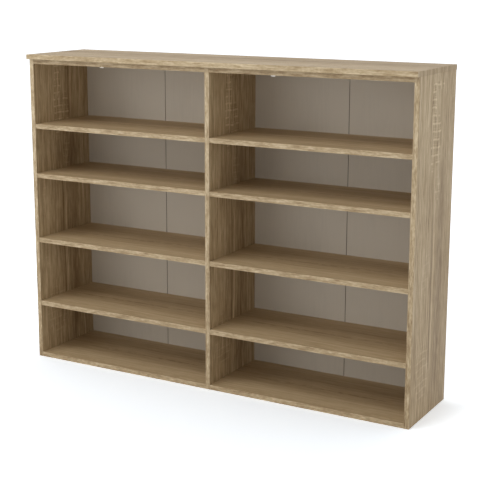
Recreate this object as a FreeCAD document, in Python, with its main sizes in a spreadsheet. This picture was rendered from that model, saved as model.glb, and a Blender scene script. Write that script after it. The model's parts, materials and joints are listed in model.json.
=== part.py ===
import FreeCAD, Part
import math
import os
import re

import Sketcher

# Bookcase with two bays side by side. Millimetres, +Z up, the front faces -Y.
# The origin is on the floor, below the centre of the unit's outline.

SIZES = [
    # carcass
    ("board", 18, "thickness of every wooden board"),
    ("bay_width", 762, "clear width of each bay"),
    ("unit_height", 1200, "floor to the top surface"),
    ("body_depth", 338, "depth of sides, divider, bottoms and upper panels"),
    ("top_front_overhang", 18, "top panel in front of the sides"),
    ("top_rear_overhang", 4, "top panel behind the sides, over the back"),
    ("edge_ease", 0.6, "bevel on the banded edges"),
    # clear heights of the compartments, from the lowest one up
    ("lowest_opening", 194, "bottom panel to the lowest shelf"),
    ("lower_opening", 238, "lowest shelf to the second"),
    ("middle_opening", 238, "second shelf to the third"),
    ("upper_opening", 174, "third shelf to the highest"),
    # loose shelves
    ("shelf_end_gap", 0.5, "shelf end to the bay wall"),
    ("shelf_recess", 1, "shelf front behind the front of the sides"),
    # back
    ("back_thickness", 3, "hardboard leaf"),
    ("back_side_inset", 2, "leaf edge inside the outer face of a side"),
    ("back_foot_inset", 2, "leaf edge above the floor"),
    ("back_head_gap", 1, "leaf edge below the top panel"),
    ("fold_gap", 1.6, "between the two leaves of a pair"),
    ("centre_gap", 2, "between the pairs, behind the divider"),
    ("tape_width", 40, "fold tape"),
    ("tape_thickness", 0.4, "fold tape"),
    # cam fittings
    ("cam_diameter", 15, "cam housing"),
    ("cam_length", 12.6, "cam housing"),
    ("cam_sink", 0.3, "housing face below the panel's face"),
    ("cam_reach", 34, "cam centre from the end of the panel"),
    ("cam_setback", 37, "cam centre from the front or rear edge"),
    ("slot_width", 1.6, "driver slot"),
    ("slot_length", 9, "driver slot"),
    ("slot_depth", 2.4, "driver slot"),
    ("bolt_thread", 5, "threaded end of a cam bolt, across its flats"),
    ("bolt_bite", 11, "threaded end in the side panel"),
    ("bolt_shank", 7, "shank, across its flats"),
    ("bolt_neck", 3.6, "neck, across its flats"),
    ("bolt_neck_length", 6, "neck, from the shank to the head"),
    ("bolt_head", 6.4, "head, across its flats"),
    ("bolt_head_length", 3, "head"),
    ("drill_clearance", 0.1, "round a fastener in its hole, and past its end"),
    # shelf pins
    ("pin_diameter", 5, "shelf pin"),
    ("pin_depth", 10, "shelf pin inside a side panel"),
    ("pin_reach", 9, "shelf pin out of the board"),
    ("pin_setback", 50, "pin centre from the front or rear edge"),
    # screws
    ("screw_shank", 4, "screw, diameter"),
    ("screw_head", 8, "screw head, diameter"),
    ("screw_head_length", 2.4, "screw head"),
    ("top_screw_bite", 12, "length of a top screw in the top panel"),
    ("top_screw_end_distance", 120, "top screws from the ends of the upper panel"),
    ("top_screw_setback", 60, "top screws from the front or rear edge"),
    ("bracket_screw_bite", 13, "length of a bracket screw in the upper panel"),
    # wall brackets
    ("bracket_width", 22, "wall bracket"),
    ("bracket_leg", 36, "both legs, outside length"),
    ("bracket_thickness", 2, "sheet steel"),
    ("bracket_bend", 2, "inside radius of the bend"),
    ("bracket_end_distance", 64, "bracket from the nearest wall of the bay"),
    ("bracket_corner", 4, "cut corners of the legs"),
    ("bracket_hole_distance", 12, "hole centres from the ends of the legs"),
    ("wall_screw_hole", 5.5, "hole for the screw into the wall, diameter"),
    # back nails
    ("nail_shank", 1.6, "nail, across its flats"),
    ("nail_length", 20, "nail without its head"),
    ("nail_head", 4.4, "nail head, across its flats"),
    ("nail_head_length", 0.8, "nail head"),
    # drilling
    ("overrun", 5, "cutters run this far past a face that they leave"),
]

# Repeated small fasteners and their holes have flats, which keeps the model light.
CAM_SIDES = 12
BOLT_SIDES = 8
NAIL_SIDES = 6
COUNTERSINK_ANGLE = 45

# Nails along a leaf: up its outer edge, and across its head and foot.
NAIL_HEIGHT_SHARES = (0.12, 0.37, 0.63, 0.88)
NAIL_ROW_SHARES = (0.3, 0.75)

doc = FreeCAD.newDocument("Bookcase")
sheet = doc.addObject("Spreadsheet::Sheet", "Sizes")
for row, (alias, value, note) in enumerate(SIZES, start=1):
    sheet.set("A%d" % row, alias)
    sheet.set("B%d" % row, str(value))
    sheet.set("C%d" % row, note)
    sheet.setAlias("B%d" % row, alias)
doc.recompute()

# Places that several pieces share, as formulas of the sheet.
FRONT = "((top_front_overhang - body_depth - top_rear_overhang) / 2)"
REAR = "(%s + body_depth)" % FRONT
TOP_UNDERSIDE = "(unit_height - board)"
UPPER_UNDERSIDE = "(unit_height - 2 * board)"
BAY_CENTRE = "((bay_width + board) / 2)"
SIDE_INNER_FACE = "(bay_width + board / 2)"
SIDE_OUTER_FACE = "(bay_width + 3 * board / 2)"
BACK_FOOT = "back_foot_inset"
BACK_HEAD = "(%s - back_head_gap)" % TOP_UNDERSIDE
BACK_EDGE = "(%s - back_side_inset)" % SIDE_OUTER_FACE
BACK_FOLD = "((%s + centre_gap / 2) / 2)" % BACK_EDGE
CAM_LEVELS = ["(board / 2)", "(%s + board / 2)" % UPPER_UNDERSIDE]
CAM_SETBACKS = ["cam_setback", "(body_depth - cam_setback)"]
PIN_SETBACKS = ["pin_setback", "(body_depth - pin_setback)"]
TOP_SCREW_SETBACKS = ["top_screw_setback", "(body_depth - top_screw_setback)"]
TOP_SCREW_X = "(bay_width / 2 - top_screw_end_distance)"
SCREW_TAPER = "(screw_head - screw_shank) / 2"
BRACKET_X = "(bay_width / 2 - bracket_end_distance - bracket_width / 2)"
BRACKET_SCREW_Y = "(body_depth - bracket_leg + bracket_hole_distance)"
WALL_SCREW_Z = "(%s - bracket_leg + bracket_hole_distance)" % UPPER_UNDERSIDE

SHELF_UNDERSIDES = ["(board + lowest_opening)"]
for opening in ("lower_opening", "middle_opening", "upper_opening"):
    SHELF_UNDERSIDES.append("(%s + board + %s)" % (SHELF_UNDERSIDES[-1], opening))
PIN_LEVELS = ["(%s - pin_diameter / 2)" % underside for underside in SHELF_UNDERSIDES]

BAYS = [("left", "-1"), ("right", "1")]

# Nails: heights up the edges of a leaf, and places along its head and foot, from the centre out.
NAIL_HEIGHTS = ["(%s + %s * (%s - %s))" % (BACK_FOOT, share, BACK_HEAD, BACK_FOOT)
                for share in NAIL_HEIGHT_SHARES]
INNER_NAIL_ROW = ["(%s * %s)" % (share, BACK_FOLD) for share in NAIL_ROW_SHARES]
OUTER_NAIL_ROW = ["(%s + %s * (%s - %s))" % (BACK_FOLD, share, BACK_EDGE, BACK_FOLD)
                  for share in NAIL_ROW_SHARES]
INNER_NAIL_X = "(board / 4)"
OUTER_NAIL_X = "(bay_width + board)"
NAIL_LEVELS = CAM_LEVELS

nodes = []


def cells(formula):
    """Turns the plain names in a formula into cells of the sheet."""
    return re.sub(r"\b[a-z_]+\b(?!\()", lambda name: "Sizes." + name.group(0), formula)


def bind(target, path, formula):
    target.setExpression(path, cells(formula))


def new_body(name):
    body = doc.addObject("PartDesign::Body", name)
    body.Label = name
    return body


def place(piece, x_formula, y_formula, z_formula, path="Placement"):
    bind(piece, path + ".Base.x", x_formula)
    bind(piece, path + ".Base.y", y_formula)
    bind(piece, path + ".Base.z", z_formula)


def plane(body, role):
    for feature in body.Origin.OriginFeatures:
        if feature.Role == role:
            return (feature, [""])


def new_sketch(body, role, offset=None):
    """A sketch on one of the body's origin planes, moved along its normal by a formula."""
    sketch = body.newObject("Sketcher::SketchObject", body.Name + "_sketch")
    sketch.AttachmentSupport = plane(body, role)
    sketch.MapMode = "FlatFace"
    if offset:
        bind(sketch, "AttachmentOffset.Base.z", offset)
    return sketch


def dimension(kind, place, formula, *arguments):
    """A named constraint and the formula that drives it."""
    constraint = Sketcher.Constraint(kind, *arguments)
    constraint.Name = "%s_%s" % (kind, place)
    return (constraint, formula)


def drive(sketch, rows):
    """Adds the constraints in one go. Each row is a constraint and its formula, or None."""
    sketch.addConstraint([constraint for constraint, formula in rows])
    for constraint, formula in rows:
        if formula:
            bind(sketch, "Constraints." + constraint.Name, formula)


def point_rows(geometry, vertex, guess, x_formula, y_formula):
    """Ties a point to the sketch origin by two driven distances."""
    place = "%d_%d" % (geometry, vertex)
    return [dimension("DistanceX", place, x_formula, -1, 1, geometry, vertex, guess.x),
            dimension("DistanceY", place, y_formula, -1, 1, geometry, vertex, guess.y)]


def add_outline(sketch, corners):
    """A closed outline of straight lines through corners given as pairs of formulas."""
    first = sketch.GeometryCount
    count = len(corners)
    turns = [math.tau * (index + 1 / 3) / count for index in range(count)]
    guess = [FreeCAD.Vector(math.cos(turn), math.sin(turn), 0) for turn in turns]
    lines = [Part.LineSegment(guess[index - 1], guess[index]) for index in range(count)]
    sketch.addGeometry(lines, False)
    rows = []
    for index in range(count):
        before = first + (index - 1) % count
        rows.append((Sketcher.Constraint("Coincident", before, 2, first + index, 1), None))
    for index, (x_formula, y_formula) in enumerate(corners):
        rows.extend(point_rows(first + index, 2, guess[index], x_formula, y_formula))
    drive(sketch, rows)


def add_rectangle(sketch, x_low, y_low, x_high, y_high):
    add_outline(sketch, [(x_low, y_low), (x_high, y_low), (x_high, y_high), (x_low, y_high)])


def add_polygon(sketch, x_formula, y_formula, across, sides):
    """A regular polygon, measured across its flats."""
    half_angle = 180 / sides
    corners = []
    for index in range(sides):
        reach = "(%s) / 2 / cos(%s)" % (across, half_angle)
        angle = half_angle * (2 * index + 1)
        corners.append(("%s + %s * cos(%s)" % (x_formula, reach, angle),
                        "%s + %s * sin(%s)" % (y_formula, reach, angle)))
    add_outline(sketch, corners)


def add_circle(sketch, x_formula, y_formula, diameter):
    index = sketch.GeometryCount
    centre = FreeCAD.Vector(1, 1, 0)
    sketch.addGeometry(Part.Circle(centre, FreeCAD.Vector(0, 0, 1), 1), False)
    rows = point_rows(index, 3, centre, x_formula, y_formula)
    rows.append(dimension("Diameter", index, diameter, index, 2))
    drive(sketch, rows)


def pad(body, sketch, length, backwards=False, taper=0):
    feature = body.newObject("PartDesign::Pad", body.Name + "_pad")
    feature.Profile = sketch
    feature.Reversed = backwards
    feature.TaperAngle = taper
    bind(feature, "Length", length)
    doc.recompute()
    return feature


def cut(body, sketch, length, backwards=False, taper=0):
    """A pocket, which runs against the sketch plane's normal unless it is turned backwards."""
    before = body.Shape.Volume
    feature = body.newObject("PartDesign::Pocket", body.Name + "_cut")
    feature.Profile = sketch
    feature.Reversed = backwards
    feature.TaperAngle = taper
    bind(feature, "Length", length)
    doc.recompute()
    if not body.Shape.Volume < before:
        raise RuntimeError("%s removes nothing from %s" % (feature.Name, body.Name))
    return feature


def mirror_ends(body, features):
    """Repeats the features at the other end of a board that is centred on X."""
    feature = body.newObject("PartDesign::Mirrored", body.Name + "_mirror")
    feature.Originals = features
    feature.MirrorPlane = plane(body, "YZ_Plane")
    body.Tip = feature
    doc.recompute()


def work_edges(body, kind, size_name, size, chosen):
    """A chamfer or fillet on the edges of the body that the test chooses by their boxes."""
    base = body.Tip
    names = []
    for index, edge in enumerate(base.Shape.Edges, start=1):
        if chosen(edge.BoundBox):
            names.append("Edge%d" % index)
    feature = body.newObject("PartDesign::" + kind, body.Name + "_edges")
    feature.Base = (base, names)
    bind(feature, size_name, size)
    doc.recompute()


def is_none(*lengths):
    return max(abs(length) for length in lengths) < Part.Precision.confusion()


def is_front_edge(box):
    """True for the long edges on the front of a board, whose front face is at Y 0."""
    return is_none(box.YMin, box.YMax) and box.DiagonalLength > 2 * sheet.board


def is_level_edge(box):
    return is_none(box.ZLength)


def keep(piece):
    nodes.append(piece)
    return piece


def drill_rear_edge(body, places):
    """Nail holes in the rear edge of a board whose front is at Y 0."""
    sketch = new_sketch(body, "XZ_Plane", "-(body_depth + overrun)")
    for x_formula, z_formula in places:
        add_polygon(sketch, x_formula, z_formula, "nail_shank + 2 * drill_clearance", NAIL_SIDES)
    depth = "overrun + nail_length - back_thickness + drill_clearance"
    return cut(body, sketch, depth, backwards=True)


# Panels


def make_top():
    body = keep(new_body("top_panel"))
    rear_edge = "(%s + top_rear_overhang)" % REAR
    sketch = new_sketch(body, "XY_Plane")
    add_rectangle(sketch, "-" + SIDE_OUTER_FACE, "-" + rear_edge, SIDE_OUTER_FACE, rear_edge)
    pad(body, sketch, "board")
    work_edges(body, "Chamfer", "Size", "edge_ease", is_level_edge)
    holes = new_sketch(body, "XY_Plane")
    for bay, sign in BAYS:
        for end in ("-1", "1"):
            for setback in TOP_SCREW_SETBACKS:
                x_formula = "%s * %s + %s * %s" % (sign, BAY_CENTRE, end, TOP_SCREW_X)
                y_formula = "%s + %s" % (FRONT, setback)
                add_polygon(holes, x_formula, y_formula, "screw_shank + 2 * drill_clearance", BOLT_SIDES)
    cut(body, holes, "top_screw_bite + drill_clearance", backwards=True)
    place(body, "0", "0", TOP_UNDERSIDE)


def make_side(name, sign):
    """A side panel. Its inner face is at X 0 and the board lies outside it."""
    body = keep(new_body(name))
    faces_right = sign == "1"
    sketch = new_sketch(body, "YZ_Plane")
    add_rectangle(sketch, "0", "0", "body_depth", TOP_UNDERSIDE)
    pad(body, sketch, "board", backwards=not faces_right)
    work_edges(body, "Chamfer", "Size", "edge_ease", is_front_edge)
    for across, depth, levels, setbacks in (("bolt_thread", "bolt_bite", CAM_LEVELS, CAM_SETBACKS),
                                            ("pin_diameter", "pin_depth", PIN_LEVELS, PIN_SETBACKS)):
        holes = new_sketch(body, "YZ_Plane")
        for level in levels:
            for setback in setbacks:
                add_polygon(holes, setback, level, across + " + 2 * drill_clearance", BOLT_SIDES)
        cut(body, holes, depth + " + drill_clearance", backwards=faces_right)
    drill_rear_edge(body, [(sign + " * board / 2", height) for height in NAIL_HEIGHTS])
    place(body, "%s * %s" % (sign, SIDE_INNER_FACE), FRONT, "0")


def make_divider():
    body = keep(new_body("centre_divider"))
    sketch = new_sketch(body, "YZ_Plane", "-board / 2")
    add_rectangle(sketch, "0", "0", "body_depth", TOP_UNDERSIDE)
    pad(body, sketch, "board")
    work_edges(body, "Chamfer", "Size", "edge_ease", is_front_edge)
    holes = new_sketch(body, "YZ_Plane", "board / 2 + overrun")
    for across, levels, setbacks in (("bolt_shank", CAM_LEVELS, CAM_SETBACKS),
                                     ("pin_diameter", PIN_LEVELS, PIN_SETBACKS)):
        for level in levels:
            for setback in setbacks:
                add_polygon(holes, setback, level, across + " + 2 * drill_clearance", BOLT_SIDES)
    cut(body, holes, "board + 2 * overrun")
    drill_rear_edge(body, [("%s * %s" % (sign, INNER_NAIL_X), height)
                           for bay, sign in BAYS for height in NAIL_HEIGHTS])
    place(body, "0", FRONT, "0")


def flat_board(name, width, depth):
    """A level board, centred on X, with its front at Y 0 and its underside at Z 0."""
    body = keep(new_body(name))
    sketch = new_sketch(body, "XY_Plane")
    add_rectangle(sketch, "-(%s) / 2" % width, "0", "(%s) / 2" % width, depth)
    pad(body, sketch, "board")
    work_edges(body, "Chamfer", "Size", "edge_ease", is_front_edge)
    return body


def cut_cam_joints(body):
    """Cam pockets in the underside and bolt channels in from the end, at the +X end."""
    pockets = new_sketch(body, "XY_Plane")
    channels = new_sketch(body, "YZ_Plane", "bay_width / 2 + overrun")
    for setback in CAM_SETBACKS:
        cam_hole = "cam_diameter + 2 * drill_clearance"
        add_polygon(pockets, "bay_width / 2 - cam_reach", setback, cam_hole, CAM_SIDES)
        add_polygon(channels, setback, "board / 2", "bolt_shank + 2 * drill_clearance", BOLT_SIDES)
    pocket = cut(body, pockets, "cam_sink + cam_length", backwards=True)
    channel = cut(body, channels, "overrun + cam_reach")
    return [pocket, channel]


def nail_row_in_bay(sign):
    """Nail places along the rear edge of a board that is centred in its bay."""
    rows = INNER_NAIL_ROW + OUTER_NAIL_ROW
    return [("%s * (%s - %s)" % (sign, x_formula, BAY_CENTRE), "board / 2") for x_formula in rows]


def make_bottom(bay, sign):
    body = flat_board(bay + "_bottom_panel", "bay_width", "body_depth")
    mirror_ends(body, cut_cam_joints(body))
    drill_rear_edge(body, nail_row_in_bay(sign))
    place(body, "%s * %s" % (sign, BAY_CENTRE), FRONT, "0")


def make_upper(bay, sign):
    """The panel under the top panel. Screws go up through it, and wall brackets hang from it."""
    body = flat_board(bay + "_upper_panel", "bay_width", "body_depth")
    features = cut_cam_joints(body)

    for across, depth, taper in (("screw_head", SCREW_TAPER, -COUNTERSINK_ANGLE),
                                 ("screw_shank + 2 * drill_clearance", "board", 0)):
        holes = new_sketch(body, "XY_Plane")
        for setback in TOP_SCREW_SETBACKS:
            add_polygon(holes, TOP_SCREW_X, setback, across, BOLT_SIDES)
        features.append(cut(body, holes, depth, backwards=True, taper=taper))

    bracket_holes = new_sketch(body, "XY_Plane")
    add_polygon(bracket_holes, BRACKET_X, BRACKET_SCREW_Y, "screw_shank + 2 * drill_clearance", BOLT_SIDES)
    features.append(cut(body, bracket_holes, "bracket_screw_bite + drill_clearance", backwards=True))
    mirror_ends(body, features)
    drill_rear_edge(body, nail_row_in_bay(sign))
    place(body, "%s * %s" % (sign, BAY_CENTRE), FRONT, UPPER_UNDERSIDE)


def make_shelf(bay, sign, number, underside):
    width = "bay_width - 2 * shelf_end_gap"
    body = flat_board("%s_shelf_%d" % (bay, number), width, "body_depth - shelf_recess")
    place(body, "%s * %s" % (sign, BAY_CENTRE), FRONT + " + shelf_recess", underside)


# Back


def make_leaf(name, sign, x_low, x_high, nail_column, nail_row, screw_x):
    """One leaf of the back. The places count outwards from the centre of the unit."""
    body = keep(new_body(name))
    sketch = new_sketch(body, "XZ_Plane")
    add_rectangle(sketch, "%s * %s" % (sign, x_low), BACK_FOOT, "%s * %s" % (sign, x_high), BACK_HEAD)
    pad(body, sketch, "back_thickness", backwards=True)
    holes = new_sketch(body, "XZ_Plane", "overrun")
    places = [(nail_column, height) for height in NAIL_HEIGHTS]
    places += [(x_formula, level) for x_formula in nail_row for level in NAIL_LEVELS]
    for x_formula, z_formula in places:
        across = "nail_shank + 2 * drill_clearance"
        add_polygon(holes, "%s * %s" % (sign, x_formula), z_formula, across, NAIL_SIDES)
    add_circle(holes, "%s * %s" % (sign, screw_x), WALL_SCREW_Z, "wall_screw_hole")
    cut(body, holes, "back_thickness + 2 * overrun")
    place(body, "0", REAR, "0")


def make_tape(bay, sign):
    """The tape that hinges two leaves, on their rear faces."""
    body = keep(new_body(bay + "_back_tape"))
    sketch = new_sketch(body, "XZ_Plane")
    middle = "%s * %s" % (sign, BACK_FOLD)
    add_rectangle(sketch, middle + " - tape_width / 2", BACK_FOOT, middle + " + tape_width / 2", BACK_HEAD)
    pad(body, sketch, "tape_thickness", backwards=True)
    place(body, "0", REAR + " + back_thickness", "0")


# Wall brackets


def make_bracket(name, x_formula):
    """An angle bracket. Its outer corner, where both legs start, is at the local origin."""
    body = keep(new_body(name))
    profile = new_sketch(body, "YZ_Plane", "-bracket_width / 2")
    add_outline(profile, [("0", "0"), ("-bracket_leg", "0"), ("-bracket_leg", "-bracket_thickness"),
                          ("-bracket_thickness", "-bracket_thickness"),
                          ("-bracket_thickness", "-bracket_leg"), ("0", "-bracket_leg")])
    pad(body, profile, "bracket_width")
    work_edges(body, "Fillet", "Radius", "bracket_bend + bracket_thickness",
               lambda box: is_none(box.YMin, box.YMax, box.ZMin, box.ZMax))
    work_edges(body, "Fillet", "Radius", "bracket_bend",
               lambda box: is_none(box.YLength, box.ZLength, box.YMin - box.ZMin))
    work_edges(body, "Chamfer", "Size", "bracket_corner",
               lambda box: is_none(box.XLength, box.YMin + sheet.bracket_leg, box.YLength)
               or is_none(box.XLength, box.ZMin + sheet.bracket_leg, box.ZLength))
    hole_place = "-bracket_leg + bracket_hole_distance"
    screw_hole = new_sketch(body, "XY_Plane", "overrun")
    add_polygon(screw_hole, "0", hole_place, "screw_shank + 2 * drill_clearance", BOLT_SIDES)
    cut(body, screw_hole, "bracket_thickness + 2 * overrun")
    wall_hole = new_sketch(body, "XZ_Plane", "bracket_thickness + overrun")
    add_circle(wall_hole, "0", hole_place, "wall_screw_hole")
    cut(body, wall_hole, "bracket_thickness + 2 * overrun")
    place(body, x_formula, REAR, UPPER_UNDERSIDE)


# Fasteners. Each is modelled once and repeated by links, which share a node.


def add_bar(body, role, start, across, length, sides=BOLT_SIDES, taper=0):
    """A bar along the normal of a plane, from a start place."""
    sketch = new_sketch(body, role, start)
    add_polygon(sketch, "0", "0", across, sides)
    pad(body, sketch, length, taper=taper)


def cam_housing():
    """A housing with its face at Z 0. The bolt's head comes in from +X."""
    body = new_body("cam_housing")
    add_bar(body, "XY_Plane", "0", "cam_diameter", "cam_length", CAM_SIDES)
    slot = new_sketch(body, "XY_Plane")
    add_rectangle(slot, "-slot_width / 2", "-slot_length / 2", "slot_width / 2", "slot_length / 2")
    cut(body, slot, "slot_depth", backwards=True)
    mouth = new_sketch(body, "YZ_Plane", "cam_diameter / 2 + overrun")
    add_polygon(mouth, "0", "board / 2 - cam_sink", "bolt_head + 2 * drill_clearance", BOLT_SIDES)
    cut(body, mouth, "overrun + (cam_diameter + bolt_head_length) / 2 + drill_clearance")
    return body


def cam_bolt():
    """A bolt along X that enters its side panel at X 0."""
    body = new_body("cam_bolt")
    neck_start = "cam_reach - bolt_head_length / 2 - bolt_neck_length"
    add_bar(body, "YZ_Plane", "-bolt_bite", "bolt_thread", "bolt_bite")
    add_bar(body, "YZ_Plane", "0", "bolt_shank", neck_start)
    add_bar(body, "YZ_Plane", neck_start, "bolt_neck", "bolt_neck_length")
    add_bar(body, "YZ_Plane", neck_start + " + bolt_neck_length", "bolt_head", "bolt_head_length")
    return body


def double_cam_bolt():
    """A bolt along X with a head at each end, centred in the divider."""
    body = new_body("double_cam_bolt")
    head_end = "(board / 2 + cam_reach + bolt_head_length / 2)"
    neck_end = "(%s - bolt_head_length)" % head_end
    shank_end = "(%s - bolt_neck_length)" % neck_end
    add_bar(body, "YZ_Plane", "-" + shank_end, "bolt_shank", "2 * " + shank_end)
    for start in (shank_end, "-" + neck_end):
        add_bar(body, "YZ_Plane", start, "bolt_neck", "bolt_neck_length")
    for start in (neck_end, "-" + head_end):
        add_bar(body, "YZ_Plane", start, "bolt_head", "bolt_head_length")
    return body


def shelf_pin(name, start, length):
    body = new_body(name)
    add_bar(body, "YZ_Plane", start, "pin_diameter", length, CAM_SIDES)
    return body


def sunk_screw():
    """A countersunk screw that points up, with its head's face at Z 0."""
    body = new_body("top_screw")
    add_bar(body, "XY_Plane", "0", "screw_head", SCREW_TAPER, taper=-COUNTERSINK_ANGLE)
    add_bar(body, "XY_Plane", "0", "screw_shank", "board + top_screw_bite")
    return body


def pan_screw():
    """A screw that points up, with the underside of its head at Z 0."""
    body = new_body("bracket_screw")
    add_bar(body, "XY_Plane", "-screw_head_length", "screw_head", "screw_head_length", CAM_SIDES)
    add_bar(body, "XY_Plane", "0", "screw_shank", "bracket_thickness + bracket_screw_bite")
    return body


def back_nail():
    """A nail along Y, whose head bears on the rear of a leaf. The leaf's front is at Y 0."""
    body = new_body("back_nail")
    shank = new_sketch(body, "XZ_Plane", "-back_thickness")
    add_polygon(shank, "0", "0", "nail_shank", NAIL_SIDES)
    pad(body, shank, "nail_length")
    head = new_sketch(body, "XZ_Plane", "-back_thickness")
    add_polygon(head, "0", "0", "nail_head", NAIL_SIDES)
    pad(body, head, "nail_head_length", backwards=True)
    return body


def group(name, master, places):
    """One node of separate solids: a link to the master at each place, some turned about Z."""
    links = []
    for index, (x_formula, y_formula, z_formula, half_turned) in enumerate(places, start=1):
        link = doc.addObject("App::Link", "%s_%d" % (name, index))
        link.LinkedObject = master
        turn = FreeCAD.Rotation(FreeCAD.Vector(0, 0, 1), FreeCAD.Vector(0, 0, 1))
        if half_turned:
            turn = FreeCAD.Rotation(FreeCAD.Vector(0, 0, 1), 180)
        link.LinkPlacement = FreeCAD.Placement(FreeCAD.Vector(), turn)
        place(link, x_formula, y_formula, z_formula, path="LinkPlacement")
        links.append(link)
    compound = keep(doc.addObject("Part::Compound", name))
    compound.Label = name
    compound.Links = links


def in_bay(sign, x_formula):
    """A place across the unit from a place across one bay."""
    return "%s * %s + %s" % (sign, BAY_CENTRE, x_formula)


def in_body(setback):
    """A place in the unit's depth from a setback behind the front of the sides."""
    return "%s + %s" % (FRONT, setback)


def make_fasteners():
    ends = [("-1", True), ("1", False)]
    cam_places = []
    screw_places = []
    for bay, sign in BAYS:
        for end, half_turned in ends:
            cam_x = in_bay(sign, "%s * (bay_width / 2 - cam_reach)" % end)
            for setback in CAM_SETBACKS:
                for panel_underside in ("0", UPPER_UNDERSIDE):
                    cam_places.append((cam_x, in_body(setback), panel_underside + " + cam_sink", half_turned))
            screw_x = in_bay(sign, "%s * %s" % (end, TOP_SCREW_X))
            for setback in TOP_SCREW_SETBACKS:
                screw_places.append((screw_x, in_body(setback), UPPER_UNDERSIDE, False))
    group("cam_housings", cam_housing(), cam_places)
    group("top_screws", sunk_screw(), screw_places)

    def at_sides(levels, setbacks):
        return [("%s * %s" % (end, SIDE_INNER_FACE), in_body(setback), level, not half_turned)
                for end, half_turned in ends for level in levels for setback in setbacks]

    def at_divider(levels, setbacks):
        return [("0", in_body(setback), level, False) for level in levels for setback in setbacks]

    group("cam_bolts", cam_bolt(), at_sides(CAM_LEVELS, CAM_SETBACKS))
    group("double_cam_bolts", double_cam_bolt(), at_divider(CAM_LEVELS, CAM_SETBACKS))
    side_pin = shelf_pin("side_pin", "-pin_depth", "pin_depth + pin_reach")
    divider_pin = shelf_pin("divider_pin", "-(board / 2 + pin_reach)", "board + 2 * pin_reach")
    group("side_shelf_pins", side_pin, at_sides(PIN_LEVELS, PIN_SETBACKS))
    group("divider_shelf_pins", divider_pin, at_divider(PIN_LEVELS, PIN_SETBACKS))

    bracket_places = [(in_bay(sign, "%s * %s" % (end, BRACKET_X)), in_body(BRACKET_SCREW_Y),
                       UPPER_UNDERSIDE + " - bracket_thickness", False)
                      for bay, sign in BAYS for end, half_turned in ends]
    group("bracket_screws", pan_screw(), bracket_places)

    nail_places = []
    for bay, sign in BAYS:
        columns = [(x_formula, height) for x_formula in (INNER_NAIL_X, OUTER_NAIL_X) for height in NAIL_HEIGHTS]
        rows = [(x_formula, level) for x_formula in INNER_NAIL_ROW + OUTER_NAIL_ROW for level in NAIL_LEVELS]
        for x_formula, z_formula in columns + rows:
            nail_places.append(("%s * %s" % (sign, x_formula), REAR, z_formula, False))
    group("back_nails", back_nail(), nail_places)


# Assembly

make_top()
make_side("left_side_panel", "-1")
make_side("right_side_panel", "1")
make_divider()
for bay, sign in BAYS:
    make_bottom(bay, sign)
    make_upper(bay, sign)
    for number, underside in enumerate(SHELF_UNDERSIDES, start=1):
        make_shelf(bay, sign, number, underside)
    make_leaf(bay + "_inner_back", sign, "(centre_gap / 2)", "(%s - fold_gap / 2)" % BACK_FOLD,
              INNER_NAIL_X, INNER_NAIL_ROW, "(%s - %s)" % (BAY_CENTRE, BRACKET_X))
    make_leaf(bay + "_outer_back", sign, "(%s + fold_gap / 2)" % BACK_FOLD, BACK_EDGE,
              OUTER_NAIL_X, OUTER_NAIL_ROW, "(%s + %s)" % (BAY_CENTRE, BRACKET_X))
    make_tape(bay, sign)
    make_bracket(bay + "_inner_bracket", "%s * (%s - %s)" % (sign, BAY_CENTRE, BRACKET_X))
    make_bracket(bay + "_outer_bracket", "%s * (%s + %s)" % (sign, BAY_CENTRE, BRACKET_X))
make_fasteners()
doc.recompute()

# Every object has to be sound before anything is written.

for item in doc.Objects:
    if "Invalid" in item.State or "Error" in item.State:
        raise RuntimeError("%s failed: %s" % (item.Name, item.State))
for piece in nodes:
    if piece.Shape.isNull() or not piece.Shape.isValid():
        raise RuntimeError("%s has no sound shape" % piece.Label)

os.makedirs("parts", exist_ok=True)
for piece in nodes:
    piece.Shape.exportStep(os.path.join("parts", piece.Label + ".step"))
print("%d nodes, %d solids" % (len(nodes), sum(len(piece.Shape.Solids) for piece in nodes)))
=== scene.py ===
import json
import math

import bmesh
import bpy
from mathutils import Matrix, Vector


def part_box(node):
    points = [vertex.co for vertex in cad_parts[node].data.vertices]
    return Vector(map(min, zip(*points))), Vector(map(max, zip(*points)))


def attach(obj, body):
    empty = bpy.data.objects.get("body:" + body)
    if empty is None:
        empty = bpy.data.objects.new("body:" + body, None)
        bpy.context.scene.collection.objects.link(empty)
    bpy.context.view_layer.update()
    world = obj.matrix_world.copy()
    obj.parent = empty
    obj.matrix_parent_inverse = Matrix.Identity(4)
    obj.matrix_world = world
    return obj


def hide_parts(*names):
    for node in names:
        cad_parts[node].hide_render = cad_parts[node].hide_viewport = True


# Looks of the bookcase. Metres, +Z up, the front faces -Y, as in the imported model.

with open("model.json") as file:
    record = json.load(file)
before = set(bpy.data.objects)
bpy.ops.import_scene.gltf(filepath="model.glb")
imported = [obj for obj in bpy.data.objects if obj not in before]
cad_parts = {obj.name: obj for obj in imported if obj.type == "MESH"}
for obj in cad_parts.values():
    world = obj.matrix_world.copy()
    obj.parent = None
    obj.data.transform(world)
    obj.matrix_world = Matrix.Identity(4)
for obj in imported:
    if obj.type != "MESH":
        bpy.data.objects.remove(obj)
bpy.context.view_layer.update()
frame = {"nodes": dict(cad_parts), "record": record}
scene = bpy.context.scene

# Places that the materials follow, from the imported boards.
FRONT_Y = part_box("right_side_panel")[0][1]
BOTTOM_LOW, BOTTOM_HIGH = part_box("right_bottom_panel")
TAPE_LOW, TAPE_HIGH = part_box("right_back_tape")
BAY_PITCH = BOTTOM_LOW[0] + BOTTOM_HIGH[0]
FOLD_X = (TAPE_LOW[0] + TAPE_HIGH[0]) / 2

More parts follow.
